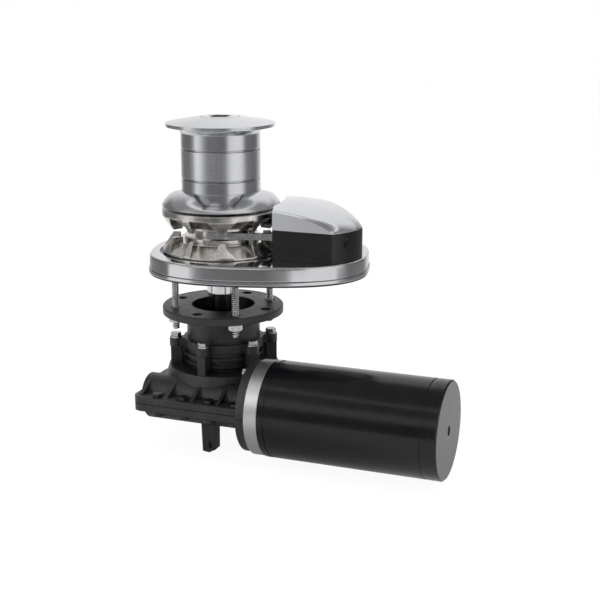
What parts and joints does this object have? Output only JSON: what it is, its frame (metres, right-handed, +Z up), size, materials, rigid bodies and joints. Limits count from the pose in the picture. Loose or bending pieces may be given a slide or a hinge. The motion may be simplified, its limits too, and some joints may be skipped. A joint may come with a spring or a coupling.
{
  "type": "anchor windlass",
  "caption": "Vertical electric anchor windlass: polished drum and chain gypsy on an oval base with a chain cover, black under-deck flange, worm gearbox and round motor.",
  "frame": {"origin": "on the main shaft axis at the deck plane, which is the underside of the base gasket", "axes": "+Z up the main shaft, +X along the long axis of the oval base towards the chain cover, -Y towards the worm and motor"},
  "size_m": [0.3469, 0.2595, 0.356],
  "materials": {
    "drum_steel": "fine brushed stainless",
    "cover_steel": "polished stainless",
    "bright_chrome": "polished",
    "fastener_steel": "plain stainless",
    "cover_plastic": "semi-gloss black",
    "seal_rubber": "matt black",
    "casting_black": "satin black",
    "motor_black": "gloss black",
    "ring_aluminium": "bead blasted",
    "shaft_steel": "ground",
    "bearing_steel": "ground and polished",
    "bronze": "machined",
    "copper": "drawn",
    "terminal_brass": "turned",
    "laminated_iron": "stacked sheets",
    "ferrite": "pressed ferrite",
    "carbon": "pressed carbon",
    "insulating_plastic": "moulded"
  },
  "bodies": {
    "housing": {"cover_dome": "cover_steel", "base_plate": "bright_chrome", "deck_bush": "bright_chrome", "mounting_studs": "fastener_steel", "stud_washers": "fastener_steel", "stud_nuts": "fastener_steel", "clamp_bolts": "fastener_steel", "clamp_washers": "fastener_steel", "casing_screws": "fastener_steel", "cover_screws": "fastener_steel", "stripper_screw": "fastener_steel", "chain_stripper": "fastener_steel", "motor_flange_screws": "fastener_steel", "cover_housing": "cover_plastic", "base_gasket": "seal_rubber", "shaft_seal": "seal_rubber", "output_seal": "seal_rubber", "worm_seal": "seal_rubber", "casing_gasket": "seal_rubber", "mounting_flange": "casting_black", "gearbox_top": "casting_black", "gearbox_bottom": "casting_black", "motor_tube": "motor_black", "motor_end_cap": "motor_black", "motor_ring": "ring_aluminium", "oil_plug": "shaft_steel", "output_bearing_upper": "bearing_steel", "output_bearing_lower": "bearing_steel", "worm_bearings": "bearing_steel", "motor_bearings": "bearing_steel", "shaft_bearing": "bronze", "brush_springs": "copper", "terminal_studs": "terminal_brass", "terminal_nuts": "terminal_brass", "field_magnets": "ferrite", "carbon_brushes": "carbon", "brush_ring": "insulating_plastic", "terminal_insulators": "insulating_plastic"},
    "shaft": {"main_shaft": "shaft_steel", "shaft_key": "shaft_steel", "cone_collar": "shaft_steel", "lower_clutch_cone": "shaft_steel", "upper_clutch_cone": "shaft_steel", "drum": "drum_steel", "drum_cap": "drum_steel", "disc_springs": "shaft_steel", "worm_wheel": "bronze", "wheel_key": "shaft_steel"},
    "gypsy": {"gypsy": "bright_chrome"},
    "clutch_nut": {"clutch_nut": "drum_steel"},
    "worm": {"worm_shaft": "shaft_steel", "coupling": "shaft_steel", "motor_shaft": "shaft_steel", "armature_core": "laminated_iron", "armature_windings": "copper", "commutator": "copper"}
  },
  "joints": [
    {"name": "worm_spin", "type": "hinge", "parent": "housing", "child": "worm", "pos_m": [-0.01378, -0.04806, -0.1345], "axis": [0.9613, -0.2756, 0], "continuous": true},
    {"name": "shaft_spin", "type": "hinge", "parent": "housing", "child": "shaft", "pos_m": [0, 0, 0], "axis": [0, 0, 1], "continuous": true},
    {"name": "gypsy_spin", "type": "hinge", "parent": "shaft", "child": "gypsy", "pos_m": [0, 0, 0.0425], "axis": [0, 0, 1], "continuous": true},
    {"name": "nut_turn", "type": "hinge", "parent": "shaft", "child": "clutch_nut", "pos_m": [0, 0, 0.16], "axis": [0, 0, 1], "range_deg": [0, 180]}
  ],
  "couplings": [
    {"joint": "shaft_spin", "follows": "worm_spin", "ratio": -0.03125}
  ]
}
